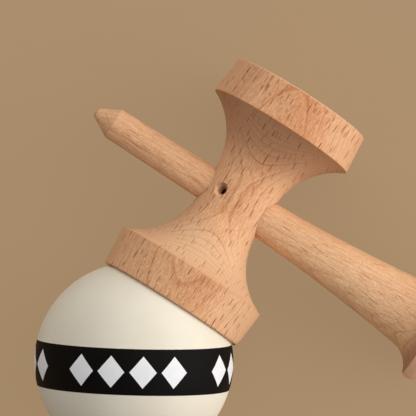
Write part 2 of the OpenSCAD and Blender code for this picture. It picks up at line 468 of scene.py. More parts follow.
@dataclass(frozen=True)
class Beech:
    """Bare sanded beech with rings, ray flecks and fibres, in solid wood from pith to bark.

    Cells and halves are sizes along the grain, out from the pith and across. A span is where a
    smooth step starts and ends, or the least and the most of a value. A show is the share of a
    colour at its fullest.
    """

    pale: Color = srgb(246, 194, 146)
    tan: Color = srgb(206, 138, 90)
    tone_cell_mm: Cell = (70.0, 22.0, 16.0)
    tone_span: Span = (0.35, 0.75)
    tone_show: float = 0.4
    far_tan: float = 0.0
    far_tan_mm: Span = (8.0, 30.0)
    fiber_mm: Cell = (3.0, 1.2, 0.17)
    fiber_detail: float = 3.0
    fiber_roughness: float = 0.6
    fiber_turn: Span = (0.5, 0.85)
    fiber_span: Span = (0.36, 0.68)
    fiber_show: float = 0.7
    pore: Color = srgb(176, 112, 72)
    pore_mm: Cell = (0.9, 0.17, 0.17)
    pore_span: Span = (0.5, 0.78)
    pore_show: float = 0.58
    # Pale speckles: a painted sheen of the ray cells, laid into the colour.
    silk: Color = srgb(255, 224, 188)
    silk_span: Span = (0.22, 0.46)
    silk_show: float = 0.4
    pith_mm: float = 100.0
    ring_stain: Color = (0.72, 0.5, 0.33, 1.0)
    ring_step_mm: float = 1.5
    ring_start: float = 0.08
    ring_drift: float = 0.3
    ring_drift_mm: float = 5.0
    ring_waver_mm: float = 0.4
    ring_waver_cell_mm: Cell = (46.0, 17.0, 13.0)
    ring_tone_span: Span = (0.0, 0.95)
    ring_tone_show: float = 0.2
    ring_line_start: Span = (0.84, 0.93)
    ring_line_end: Span = (0.965, 1.0)
    ring_weight: Span = (0.25, 1.0)
    ring_show: float = 0.66
    fleck: Color = srgb(116, 44, 18)
    fleck_cell_mm: Cell = (5.0, 7.0, 1.7)
    fleck_half_mm: Cell = (1.9, 4.8, 0.165)
    fleck_scatter: float = 0.9
    fleck_length: Span = (0.5, 1.1)
    fleck_width: Span = (0.7, 1.1)
    fleck_edge: Span = (0.7, 1.0)
    fleck_darkness: Span = (0.35, 1.0)
    fleck_flat: Span = (0.45, 1.0)
    fleck_show: float = 0.95
    flat_span: Span = (0.1, 0.65)
    quarter: Color = srgb(232, 190, 152)
    quarter_span: Span = (0.5, 1.0)
    quarter_show: float = 0.45
    end: Color = srgb(224, 185, 145)
    end_stain: Color = (0.58, 0.45, 0.34, 1.0)
    end_span: Span = (0.1, 0.62)
    end_show: float = 0.6
    end_hides_fleck: float = 0.25
    end_hides_quarter: float = 0.55
    end_hides_ring: float = 0.25
    # Painted shade: past the span below, end grain that faces back along the grain takes this
    # darker colour, for the shade on the flare under the small cup and on the ken's base flare.
    far_end_shade: Color = srgb(162, 118, 88)
    far_end_shade_mm: Span = (-4.0, 6.0)
    # Painted light: from the place below along the grain, the wood is made paler, standing in for
    # fill light on the ken's base.
    foot_light: Color = srgb(255, 206, 168)
    foot_light_from_mm: float = 0.0
    foot_light_soft_mm: float = 0.1
    foot_light_show: float = 0.6
    edge: Color = srgb(222, 148, 92)
    edges_mm: tuple[float, ...] = ()
    edge_radius_mm: float = 0.0
    edge_soft_mm: float = 0.5
    edge_width_mm: Span = (0.06, 0.32)
    edge_show: float = 0.6
    relief_mm: float = 0.06
    relief_strength: float = 0.7
    fiber_relief: float = 0.4
    fleck_relief: float = 0.08
    pore_relief: float = 0.3
    roughness: Span = (0.52, 0.68)
    specular: float = 0.28

    def fibers(self, shader: Shader, place: Wire, bark: Wire) -> Wire:
        """Thin streaks along the grain, flat in whichever side they are seen on.

        Args:
            shader: The material's tree.
            place: Coordinates along, out from the pith and across, in millimetres.
            bark: How far the surface faces the bark or the pith.

        Returns:
            The streaks, about 0.5 on average.
        """
        long, deep, thin = self.fiber_mm
        bark_side = bark.rise(*self.fiber_turn)
        on_bark, on_side = (
            shader.noise(place, cell, self.fiber_detail, self.fiber_roughness)
            for cell in ((long, deep, thin), (long, thin, deep)))
        return on_bark * bark_side + on_side * (1.0 - bark_side)

    def flecks(self, shader: Shader, place: Wire) -> tuple[Wire, Wire]:
        """Ray flecks: one thin spindle in each cell.

        Args:
            shader: The material's tree.
            place: Coordinates along, out from the pith and across, in millimetres.

        Returns:
            The spindles' mask and each spindle's own darkness.
        """
        cell = shader.vector(Op.DIVIDE, place, self.fleck_cell_mm)
        cells = shader.node(
            "ShaderNodeTexVoronoi", {"voronoi_dimensions": "3D", "feature": "F1"},
            {"Vector": cell, "Scale": 1.0, "Randomness": self.fleck_scatter})
        offset = shader.vector(Op.SUBTRACT, cell, shader.wire(cells, "Position"))
        along, out, across = shader.split(shader.vector(Op.MULTIPLY, offset, self.fleck_cell_mm))
        chance = shader.node("ShaderNodeSeparateColor", None, {0: shader.wire(cells, "Color")})
        half_long, half_out, half_wide = self.fleck_half_mm
        length = half_long * shader.wire(chance, 0).over(*self.fleck_length)
        width = half_wide * shader.wire(chance, 1).over(*self.fleck_width)
        reach = ((along / length) ** 2.0 + (out / half_out) ** 2.0
                 + (across / width) ** 2.0).sqrt()
        return reach.fall(*self.fleck_edge), shader.wire(chance, 2).over(*self.fleck_darkness)

    def rings(self, shader: Shader, place: Wire) -> tuple[Wire, Wire]:
        """Growth rings about the pith: a slow change of tone and a thin line at each ring's end.

        Args:
            shader: The material's tree.
            place: Coordinates along, out from the pith and across, in millimetres.

        Returns:
            The slow tone and the thin lines.
        """
        _, out, across = shader.split(place)
        waver = (shader.noise(place, self.ring_waver_cell_mm) - 0.5) * self.ring_waver_mm
        radius = (out + self.pith_mm + waver).hypot(across)
        drift = shader.wave(radius / self.ring_drift_mm) * self.ring_drift
        beat = radius / self.ring_step_mm + drift + self.ring_start
        tooth = beat.fraction()
        line = tooth.rise(*self.ring_line_start) * tooth.fall(*self.ring_line_end)
        weight = shader.white(beat.floor()).over(*self.ring_weight)
        return tooth.rise(*self.ring_tone_span) * weight, line * weight

    def edge_lines(self, shader: Shader, place: Wire) -> Wire:
        """Thin warm lines where a turned edge runs round the piece.

        Args:
            shader: The material's tree.
            place: Coordinates in the piece's frame.

        Returns:
            The lines' mask.
        """
        along, out, across = shader.split(place)
        outside = out.hypot(across).rise(
            self.edge_radius_mm - self.edge_soft_mm, self.edge_radius_mm)
        mask, *others = (abs(along - at).fall(*self.edge_width_mm) for at in self.edges_mm)
        for line in others:
            mask = mask.at_least(line)
        return mask * outside

    def material(self, name: str, at: Matrix,
                 worn_lit_mouth: WornLitMouth | None = None) -> bpy.types.Material:
        """Makes the wood of one piece.

        Args:
            name: The material's name.
            at: The piece's frame: X along the grain, Y out from the pith, Z across.
            worn_lit_mouth: The rubbed mouth of a hole, with its painted light and shade, where the
                piece has one.

        Returns:
            The material.
        """
        shader = Shader(name)
        place = shader.place(at)
        along = shader.split(place)[0]
        end = shader.facing(at.col[0].to_3d())
        bark = abs(shader.facing(at.col[1].to_3d()))
        near_cut, far_cut = end.rise(*self.end_span), (end * -1.0).rise(*self.end_span)
        end_cut = near_cut + far_cut
        fiber = self.fibers(shader, place, bark)
        slow, line = self.rings(shader, place)
        fleck, darkness = self.flecks(shader, place)
        fleck = (fleck * darkness * bark.rise(*self.flat_span).over(*self.fleck_flat)
                 * (1.0 - near_cut * self.end_hides_fleck) * self.fleck_show)
        tone = shader.noise(place, self.tone_cell_mm, detail=1.0)
        streak = (fiber.rise(*self.fiber_span) * self.fiber_show
                  + tone.rise(*self.tone_span) * self.tone_show + slow * self.ring_tone_show
                  + along.rise(*self.far_tan_mm) * self.far_tan)
        color = shader.mix(streak, self.pale, self.tan)
        speckle = shader.noise(place, self.pore_mm, detail=1.0)
        pore = speckle.rise(*self.pore_span) * self.pore_show
        color = shader.mix(pore, color, self.pore)
        # Painted sheen: pale speckles of the ray cells.
        color = shader.mix(speckle.fall(*self.silk_span) * self.silk_show, color, self.silk)
        color = shader.mix(near_cut * self.end_show, color, self.end)
        # Painted shade on end grain that faces back along the grain, past the far span.
        far_end_shade = shader.mix(along.rise(*self.far_end_shade_mm), self.end, self.far_end_shade)
        color = shader.mix(far_cut * self.end_show, color, far_end_shade)
        quarter_cut = bark.fall(*self.quarter_span) * (1.0 - end_cut * self.end_hides_quarter)
        color = shader.mix(quarter_cut * self.quarter_show, color, self.quarter)
        stain = shader.mix(end_cut, self.ring_stain, self.end_stain)
        ring = line * (1.0 - self.end_hides_ring * end_cut) * self.ring_show
        color = shader.mix(ring, color, shader.vector(Op.MULTIPLY, color, stain))
        # Painted light on the base's side, standing in for fill light.
        if self.foot_light_from_mm:
            foot_light = along.rise(
                self.foot_light_from_mm - self.foot_light_soft_mm, self.foot_light_from_mm + self.foot_light_soft_mm)
            color = shader.mix(foot_light * self.foot_light_show, color, self.foot_light)
        if self.edges_mm:
            color = shader.mix(
                self.edge_lines(shader, place) * self.edge_show, color, self.edge)
        color = shader.mix(fleck, color, self.fleck)
        # The rubbed mouth of a hole, with painted light and painted shade on its two sides.
        if worn_lit_mouth:
            color = worn_lit_mouth.tint(shader, color)
        height = (1.0 - self.fiber_relief + fiber * self.fiber_relief
                  - fleck * self.fleck_relief - pore * self.pore_relief)
        return shader.surface(
            Base_Color=color,
            Roughness=fiber.over(*self.roughness),
            Normal=shader.bump(height, self.relief_mm, self.relief_strength),
            Specular_IOR_Level=self.specular)


@dataclass(frozen=True)
class MatteCoat:
    """One matte colour, with slow clouds in it and a fine grit in its surface."""

    base: Color
    cloudy: Color
    cloud_mm: float
    cloud_span: Span
    cloud_show: float
    grit_mm: float
    relief_mm: float
    roughness: Span
    specular: float
    cloud_detail: float = 3.0
    relief_strength: float = 0.6

    def color(self, shader: Shader, place: Wire, cloud: Wire) -> Wire:
        """The coat's colour.

        Args:
            shader: The material's tree.
            place: Coordinates in millimetres; not used.
            cloud: The slow clouds.

        Returns:
            The colour with its clouds.
        """
        return shader.mix(cloud.rise(*self.cloud_span) * self.cloud_show, self.base, self.cloudy)

    def material(self, name: str, at: Matrix) -> bpy.types.Material:
        """Makes the coat.

        Args:
            name: The material's name.
            at: The ball's frame, with Z through its poles.

        Returns:
            The material.
        """
        shader = Shader(name)
        place = shader.place(at)
        cloud = shader.noise(place, (self.cloud_mm,) * 3, self.cloud_detail)
        grit = shader.noise(place, (self.grit_mm,) * 3)
        return shader.surface(
            Base_Color=self.color(shader, place, cloud),
            Roughness=grit.over(*self.roughness),
            Normal=shader.bump(grit, self.relief_mm, self.relief_strength),
            Specular_IOR_Level=self.specular)


@dataclass(frozen=True)
class MarkInk(MatteCoat):
    """White ink printed on the band."""

    base: Color = srgb(243, 244, 247)
    cloudy: Color = srgb(236, 237, 240)
    cloud_mm: float = 2.4
    cloud_span: Span = (0.35, 0.8)
    cloud_show: float = 0.8
    grit_mm: float = 0.3
    relief_mm: float = 0.01
    roughness: Span = (0.5, 0.62)
    specular: float = 0.35


@dataclass(frozen=True)
class BallPaint(MatteCoat):
    """Rubbery paint: a cream ball with a black band."""

    base: Color = srgb(238, 231, 213)
    cloudy: Color = srgb(231, 222, 202)
    cloud_mm: float = 16.0
    cloud_span: Span = (0.3, 0.75)
    cloud_show: float = 0.7
    grit_mm: float = 0.35
    relief_mm: float = 0.012
    roughness: Span = (0.58, 0.68)
    specular: float = 0.1
    black: Color = srgb(8, 8, 9)
    dusty_black: Color = srgb(14, 14, 14)
    dust_span: Span = (0.4, 0.8)
    dust_show: float = 0.6
    band_low_mm: float = -7.7
    band_high_mm: float = 6.1
    band_soft_mm: float = 0.05
    ragged_mm: float = 0.12
    ragged_cell_mm: Cell = (0.7, 0.7, 0.7)

    def color(self, shader: Shader, place: Wire, cloud: Wire) -> Wire:
        """The ball's colour with its band.

        Args:
            shader: The material's tree.
            place: Coordinates in millimetres.
            cloud: The slow clouds.

        Returns:
            The colour.
        """
        height = shader.split(place)[2]
        ragged = height + (shader.noise(place, self.ragged_cell_mm) - 0.5) * self.ragged_mm
        soft = self.band_soft_mm
        band = (ragged.rise(self.band_low_mm - soft, self.band_low_mm + soft)
                * ragged.fall(self.band_high_mm - soft, self.band_high_mm + soft))
        black = shader.mix(
            cloud.rise(*self.dust_span) * self.dust_show, self.black, self.dusty_black)
        return shader.mix(band, super().color(shader, place, cloud), black)


def seen_rays(tree: Tree) -> Wire:
    """Tells rays that show a surface from rays that only bring light.

    Args:
        tree: The tree that asks.

    Returns:
        One for a ray from the camera, off gloss or through glass, and nought for the others.
    """
    path = tree.node("ShaderNodeLightPath")
    return tree.wire(path, "Is Camera Ray").at_least(
        tree.wire(path, "Is Glossy Ray")).at_least(tree.wire(path, "Is Transmission Ray"))


@dataclass(frozen=True)
class FloorPaint:
    """Plain pale floor, whose shadows are softened by an even share of its own colour."""

    pale: Color = srgb(180, 151, 117)
    even: Color = srgb(174, 145, 111)
    even_share: float = 0.74
    roughness: float = 0.9
    specular: float = 0.1

    def material(self, name: str) -> bpy.types.Material:
        """Makes the floor's plain finish.

        Args:
            name: The material's name.

        Returns:
            The material.
        """
        shader = Shader(name)
        lit = shader.out("ShaderNodeBsdfPrincipled", "BSDF", None, {
            "Base Color": self.pale, "Roughness": self.roughness,
            "Specular IOR Level": self.specular})
        flat = shader.out("ShaderNodeEmission", 0, None, {"Color": self.even, "Strength": 1.0})
        shown = shader.out("ShaderNodeMixShader", 0, None, {
            0: seen_rays(shader) * self.even_share, 1: lit, 2: flat})
        shader.node("ShaderNodeOutputMaterial", None, {"Surface": shown})
        return shader.material


class GeometryTree(Tree):
    """A Geometry Nodes tree with named inputs."""

    def __init__(self, name: str, inputs: Mapping[str, str]) -> None:
        """Makes the group and its sockets.

        Args:
            name: The group's name.
            inputs: Socket type of each named input, after the geometry.
        """
        group = bpy.data.node_groups.new(name, "GeometryNodeTree")
        super().__init__(group)
        face = group.interface
        face.new_socket("Geometry", in_out="INPUT", socket_type="NodeSocketGeometry")
        self.keys = {
            label: face.new_socket(label, in_out="INPUT", socket_type=kind).identifier
            for label, kind in inputs.items()
        }
        face.new_socket("Geometry", in_out="OUTPUT", socket_type="NodeSocketGeometry")
        self.entry = self.node("NodeGroupInput")

    def given(self, label: str) -> Wire:
        """One of the group's inputs."""
        return self.wire(self.entry, label)

    def shape(self, kind: str, **sockets: Any) -> Wire:
        """Adds a geometry node and gives its first output.

        Args:
            kind: The node's type, without the words that all these types begin with.
            sockets: Values or wires, by socket name with underscores for spaces.

        Returns:
            The output as a wire.
        """
        inputs = {key.replace("_", " "): value for key, value in sockets.items()}
        return self.out("GeometryNode" + kind, 0, None, inputs)

    def close(self, geometry: Wire) -> None:
        """Ends the tree in plain geometry with its material.

        Args:
            geometry: The finished shape.
        """
        real = self.shape("RealizeInstances", Geometry=geometry)
        dressed = self.shape("SetMaterial", Geometry=real, Material=self.given("Material"))
        self.node("NodeGroupOutput", None, {"Geometry": dressed})

    def apply(self, piece: bpy.types.Object, values: Mapping[str, Any]) -> None:
        """Runs the tree on an object and keeps the result as its plain mesh.

        Args:
            piece: The object whose mesh goes in.
            values: A value for each named input.
        """
        modifier = piece.modifiers.new(self.tree.name, "NODES")
        modifier.node_group = self.tree
        for label, value in values.items():
            modifier[self.keys[label]] = value
        bake_modifiers(piece)


def bake_modifiers(piece: bpy.types.Object) -> None:
    """Turns an object with modifiers into its plain mesh.

    Args:
        piece: The object, whose modifiers are used up.
    """
    bpy.context.view_layer.update()
    graph = bpy.context.evaluated_depsgraph_get()
    mesh = bpy.data.meshes.new_from_object(
        piece.evaluated_get(graph), preserve_all_data_layers=True, depsgraph=graph)
    piece.modifiers.clear()
    mesh.name = piece.name
    piece.data = mesh


def add_object(name: str, data: bpy.types.ID) -> bpy.types.Object:
    """Adds an object to the scene.

    Args:
        name: The object's name.
        data: Its mesh, lamp or camera.

    Returns:
        The object.
    """
    made = bpy.data.objects.new(name, data)
    bpy.context.scene.collection.objects.link(made)
    return made


def new_object(name: str, vertices: Sequence[Sequence[float]],
               edges: Sequence[Sequence[int]] = ()) -> bpy.types.Object:
    """Adds an object with a bare mesh to the scene.

    Args:
        name: The object's name.
        vertices: Its points.
        edges: Its edges.

    Returns:
        The object.
    """
    mesh = bpy.data.meshes.new(name)
    mesh.from_pydata(vertices, edges, [])
    return add_object(name, mesh)


def axes_at(origin: Vector, x_axis: Vector, y_axis: Vector) -> Matrix:
    """A frame from its origin and two square axes.

    Args:
        origin: Where it is.
        x_axis: Its first direction.
        y_axis: Its second direction.

    Returns:
        The frame as a matrix.
    """
    z_axis = x_axis.cross(y_axis)
    turned = Matrix((x_axis, y_axis, z_axis)).transposed().to_4x4()
    return Matrix.Translation(origin) @ turned


class Lathe:
    """Turns outlines into solids with a Geometry Nodes tree."""

    MERGE_MM: ClassVar[float] = 0.002
    DISSOLVE_MM: ClassVar[float] = 0.0005

    def __init__(self) -> None:
        """Builds the tree: a grid with one row for each point of the outline, bent round Z."""
        tree = GeometryTree(
            "turned", {"Segments": "NodeSocketInt", "Material": "NodeSocketMaterial"})
        outline = tree.given("Geometry")
        segments = tree.given("Segments")
        rows = tree.out(
            "GeometryNodeAttributeDomainSize", "Point Count", {"component": "MESH"},
            {"Geometry": outline})
        grid = tree.shape("MeshGrid", Vertices_X=segments + 1.0, Vertices_Y=rows)
        index = tree.out("GeometryNodeInputIndex", "Index")
        column = ((index + 0.5) / rows).floor()
        row = index - column * rows
        point = tree.out(
            "GeometryNodeSampleIndex", "Value",
            {"data_type": "FLOAT_VECTOR", "domain": "POINT"},
            {"Geometry": outline, "Value": tree.out("GeometryNodeInputPosition", 0), "Index": row})
        radius, _, along = tree.split(point)
        turn = column * math.tau / segments
        bent = tree.join(radius * turn.cosine(), radius * turn.sine(), along)
        solid = tree.shape("SetPosition", Geometry=grid, Position=bent)
        solid = tree.shape("MergeByDistance", Geometry=solid, Distance=self.MERGE_MM * MM)
        tree.close(solid)
        self.tree = tree

    def turn(self, name: str, outline: Sequence[Point], segments: int,
             material: bpy.types.Material) -> bpy.types.Object:
        """Turns one solid about Z.

        Args:
            name: The object's name.
            outline: Places along the axis and distances from it, in millimetres.
            segments: Facets round the axis.
            material: Its finish.

        Returns:
            The closed solid, with its faces outwards.
        """
        points = [(out * MM, 0.0, along * MM) for along, out in outline]
        made = new_object(name, points, [(i, i + 1) for i in range(len(points) - 1)])
        self.tree.apply(made, {"Segments": segments, "Material": material})
        shape = bmesh.new()
        shape.from_mesh(made.data)
        bmesh.ops.dissolve_degenerate(shape, edges=shape.edges, dist=self.DISSOLVE_MM * MM)
        bmesh.ops.recalc_face_normals(shape, faces=shape.faces)
        shape.to_mesh(made.data)
        shape.free()
        return made


def carve(piece: bpy.types.Object, cutters: Sequence[bpy.types.Object]) -> None:
    """Cuts solids out of a piece and removes the cutters.

    Args:
        piece: The piece that loses material.
        cutters: The solids to cut away.
    """
    for cutter in cutters:
        cut = piece.modifiers.new(cutter.name, "BOOLEAN")
        cut.operation = "DIFFERENCE"
        cut.solver = "EXACT"
        cut.object = cutter
    bake_modifiers(piece)
    for cutter in cutters:
        bpy.data.objects.remove(cutter)


def smooth(piece: bpy.types.Object, angle: float = 32.0) -> None:
    """Shades a piece smoothly, with edges sharper than this angle in degrees kept."""
    piece.data.shade_smooth()
    piece.data.set_sharp_from_angle(angle=math.radians(angle))


def arc(center: Point, radius: float, start: float, stop: float, steps: int) -> list[Point]:
    """Points on an arc.

    Args:
        center: Its centre.
        radius: Its radius.
        start: First angle, in degrees.
        stop: Last angle, in degrees.
        steps: Number of chords.

    Returns:
        The points.
    """
    angles = [math.radians(start + (stop - start) * i / steps) for i in range(steps + 1)]
    return [(center[0] + radius * math.cos(a), center[1] + radius * math.sin(a)) for a in angles]


def straight(start: Point, stop: Point, steps: int) -> list[Point]:
    """Evenly spaced points on a line, without its two ends.

    Args:
        start: One end.
        stop: The other end.
        steps: Number of spaces.

    Returns:
        The points between the ends.
    """
    return [(start[0] + (stop[0] - start[0]) * i / steps,
             start[1] + (stop[1] - start[1]) * i / steps) for i in range(1, steps)]


def ease(before: Point, corner: Point, after: Point, radius: float, steps: int = 6) -> list[Point]:
    """A corner rounded to a small radius.

    Args:
        before: A point on the line that comes in.
        corner: The sharp corner.
        after: A point on the line that goes out.
        radius: The rounding.
        steps: Number of chords.

    Returns:
        The points that take the corner's place.
    """
    tip = Vector(corner)
    back = (Vector(before) - tip).normalized()
    ahead = (Vector(after) - tip).normalized()
    half = math.acos(max(-1.0, min(1.0, back.dot(ahead)))) / 2
    run = radius / math.tan(half)
    center = tip + (back + ahead).normalized() * (radius / math.sin(half))
    first, last = tip + back * run - center, tip + ahead * run - center
    points = []
    for i in range(steps + 1):
        share = i / steps
        spoke = (first * (1 - share) + last * share).normalized() * radius
        points.append((center.x + spoke.x, center.y + spoke.y))
    return points


def flipped(points: Sequence[Point]) -> list[Point]:
    """An outline turned end for end, read backwards."""
    return [(-along, out) for along, out in reversed(points)]


@dataclass(frozen=True)
class Seat:
    """What the cups share: the ball that they take, and the lip that it rests on."""

    tama_r: float = 30.0
    seat_gap: float = 0.2
    bowl_room: float = 2.9
    lip_round: float = 0.6

    def height(self, mouth_r: float) -> float:
        """Height of a seated ball's centre over the rim of a cup with this mouth."""
        reach = self.tama_r + self.seat_gap + self.lip_round
        return math.sqrt(reach ** 2 - (mouth_r + self.lip_round) ** 2) - self.lip_round

    def cup(self, rim: float, rim_r: float, lip: float, turn: float = 90.0) -> list[Point]:
        """A cup from the middle of its bowl over its lip.

        Args:
            rim: Place of the rim along the axis.
            rim_r: Outer radius of the rim.
            lip: Width of the lip.
            turn: How far round the outside the lip goes, in degrees.

        Returns:
            The outline.
        """
        mouth_r = rim_r - lip
        deep = self.tama_r - self.height(mouth_r) + self.bowl_room - self.lip_round
        bowl_r = (mouth_r ** 2 + deep ** 2) / (2 * deep)
        center = (rim - self.lip_round - deep + bowl_r, 0.0)
        sweep = math.degrees(math.asin(mouth_r / bowl_r))
        lip_x = rim - self.lip_round
        inner, outer = (lip_x, mouth_r + self.lip_round), (lip_x, rim_r - self.lip_round)
        return (arc(center, bowl_r, 180, 180 - sweep, steps=30)
                + arc(inner, self.lip_round, 270, 360, steps=8)[1:]
                + arc(outer, self.lip_round, 0, turn, steps=10))


@dataclass(frozen=True)
class Lay:
    """Where the toy lies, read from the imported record."""

    crossing: Vector
    ken: Vector
    sarado: Vector
    face: Vector
    tama: Vector
    pole: Vector

    @classmethod
    def read(cls, record: Mapping[str, Any], joints: Sequence[Mapping[str, Any]],
             spike_hole_mid: float, seat: float) -> "Lay":
        """Finds the pieces' directions and places.

        Args:
            record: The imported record.
            joints: Its joints.
            spike_hole_mid: Distance from the ball's centre to the middle of its spike hole, in mm.
            seat: Distance from the ken's axis to the ball's centre, in mm.

        Returns:
            The lay.
        """
        slides = {joint["name"]: Vector(joint["axis"]).normalized() for joint in joints}
        hole = next(m for m in record["mounts"] if m["name"] == "spike_hole")
        ken, sarado = -slides["sarado_slide"], -slides["tama_lift"]
        pole = -Vector(hole["axis"]).normalized()
        tama = Vector(hole["pos_m"]) + pole * spike_hole_mid * MM
        return cls(
            crossing=tama + sarado * seat * MM, ken=ken, sarado=sarado,
            face=ken.cross(sarado).normalized(), tama=tama, pole=pole)

    def about(self, axis: Vector, turn: float) -> Matrix:
        """A grain frame at the crossing.

        Args:
            axis: Direction of the grain.
            turn: Turn of the bark side from straight up about that axis, in degrees.

        Returns:
            The frame: X along the grain, Y towards the bark, Z across.
        """
        bark = Matrix.Rotation(math.radians(turn), 3, axis) @ self.face
        return axes_at(self.crossing, axis, bark)

    def lathe(self, axis: Vector) -> Matrix:
        """A frame at the crossing with Z along a turned piece."""
        return axes_at(self.crossing, self.face, axis.cross(self.face))


@dataclass
class TurnedPiece:
    """What the three pieces share: their lathe, where they lie and how finely they are turned."""

    lathe: Lathe
    lay: Lay
    seat: Seat
    segments: int = 192
    hole_segments: int = 64

    def hand_over(self, piece: bpy.types.Object, body: Piece, slot: str, stands_for: bool) -> None:
        """Ties a finished piece to its body.

        Args:
            piece: The piece.
            body: The body that it moves with.
            slot: The record's material slot; not used.
            stands_for: Whether it stands for the CAD node of that name.
        """
        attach(piece, body.value)
        if stands_for:
            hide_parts(body.value)
        LOG.info("%s: %d faces on %s", piece.name, len(piece.data.polygons), body.value)


@dataclass
class Ken(TurnedPiece):
    """The stem: a blunt spike, a tapered handle and the base cup."""

    waist_r: float = 10.7
    spike_reach: float = 50.6
    tip_length: float = 6.7
    tip_round: float = 2.0
    shoulder_r: float = 4.9
    spike_r: float = 5.35
    neck_r: float = 6.0
    handle_length: float = 59.6
    handle_r: float = 10.55
    handle_slope: float = 7.7
    base_flare: float = 8.5
    base_slope: float = 76.0
    base_r: float = 17.3
    base_height: float = 8.3
    base_round: float = 3.7
    base_edge_drop: float = 0.5
    base_rim_r: float = 14.3
    base_lip: float = 1.6
    base_eased: float = 0.28
    eased: float = 0.35
    string_r: float = 1.5
    string_turn: float = 33.5
    drill_half: float = 12.0
    finish: Beech = field(default_factory=lambda: Beech(
        pale=srgb(255, 210, 163), tan=srgb(211, 149, 102),
        fiber_mm=(3.8, 1.3, 0.15), fiber_show=0.64, pore_show=0.6,
        pith_mm=38.0, ring_step_mm=1.15, ring_start=0.35, ring_drift=0.9,
        ring_waver_mm=0.9, ring_show=0.6,
        fleck=srgb(138, 58, 24), fleck_cell_mm=(8.0, 6.0, 1.3),
        fleck_half_mm=(3.2, 3.0, 0.11), fleck_show=0.75, quarter_show=0.15,
        # The darker far end-grain colour here is painted shade on the base's flare.
        end=srgb(200, 148, 111), far_end_shade=srgb(138, 94, 67),
        # Painted light: the base's side, from 70.3 mm along, is made paler.
        end_span=(0.3, 0.95), end_show=0.75, foot_light_from_mm=70.3))
    bark_turn: float = 52.0

    def outline(self) -> list[Point]:
        """The ken's outline.

        Returns:
            The points, from the base cup along the handle to the spike's tip.
        """
        edge_x = self.waist_r + self.handle_length
        edge_r = self.base_r - self.base_edge_drop
        side_r = self.base_r - self.base_round
        side_x = edge_x + math.sqrt(self.base_round ** 2 - (edge_r - side_r) ** 2)
        base_x = edge_x + self.base_height
        lip = self.seat.lip_round
        run, rise = base_x - lip - side_x, self.base_rim_r - lip - side_r
        base_turn = math.degrees(math.atan2(rise, run)
                                 + math.acos((self.base_round - lip) / math.hypot(run, rise)))
        slope = math.radians(self.handle_slope)
        climb = math.cos(slope) - (edge_r - self.handle_r) / self.base_flare
        flare_end = math.acos(max(climb, math.cos(math.radians(self.base_slope))))
        top_r = self.handle_r + self.base_flare * (math.cos(slope) - math.cos(flare_end))
        top_x = edge_x - (edge_r - top_r) / math.tan(math.radians(self.base_slope))
        handle_x = top_x - self.base_flare * (math.sin(flare_end) - math.sin(slope))
        flare_center = (handle_x - self.base_flare * math.sin(slope),
                        self.handle_r + self.base_flare * math.cos(slope))
        handle_run = handle_x - self.waist_r
        neck_slope = 2 * (self.handle_r - self.neck_r) / handle_run - math.tan(slope)
        bend = (math.tan(slope) - neck_slope) / (2 * handle_run)
        steps = 40
        handle = []
        for i in range(steps - 1, -1, -1):
            along = handle_run * i / steps
            handle.append((self.waist_r + along,
                           self.neck_r + neck_slope * along + bend * along * along))
        tip_center = self.tip_round - self.spike_reach
        shoulder = (self.tip_length - self.spike_reach, self.shoulder_r)
        side = (shoulder[0] - tip_center, self.shoulder_r)
        tip_turn = math.degrees(math.atan2(side[1], side[0])
                                + math.acos(self.tip_round / math.hypot(*side)))
        cup = self.seat.cup(base_x, self.base_rim_r, self.base_lip, base_turn)
        edge_turn = 90 + math.degrees(math.acos((edge_r - side_r) / self.base_round))
        side_arc = arc((side_x, side_r), self.base_round, base_turn, edge_turn, steps=20)
        flare = arc(flare_center, self.base_flare, math.degrees(flare_end) - 90,
                    self.handle_slope - 90, steps=24)
        enter = (-self.waist_r, self.spike_r)
        tip = arc((tip_center, 0.0), self.tip_round, tip_turn, 180, steps=14)
        return (cup + side_arc[1:-1]
                + ease(side_arc[-2], side_arc[-1], flare[0], self.base_eased)
                + flare + handle
                + straight(handle[-1], enter, steps=12) + [enter]
                + straight(enter, shoulder, steps=24)
                + ease(enter, shoulder, tip[0], self.eased)
                + straight(shoulder, tip[0], steps=5)[1:] + tip)

    def build(self) -> None:
        """Turns the ken, drills its string hole and dresses it."""
        grain = self.lay.about(self.lay.ken, self.bark_turn)
        wood = self.finish.material("ken_beech", grain)
        ken = self.lathe.turn("ken_turned", self.outline(), self.segments, wood)
        ken.data.transform(self.lay.lathe(self.lay.ken))
        middle = (self.spike_r + self.neck_r) / 2
        string_x = -middle * math.tan(math.radians(self.string_turn))
        half = self.drill_half
        drill = self.lathe.turn(
            "ken_drill", [(-half, 0.0), (-half, self.string_r), (half, self.string_r), (half, 0.0)],
            self.hole_segments, wood)
        drill.data.transform(axes_at(
            self.lay.crossing + self.lay.ken * string_x * MM, self.lay.ken, self.lay.sarado))
        carve(ken, [drill])
        smooth(ken)
        self.hand_over(ken, Piece.KEN, "ken_wood", True)


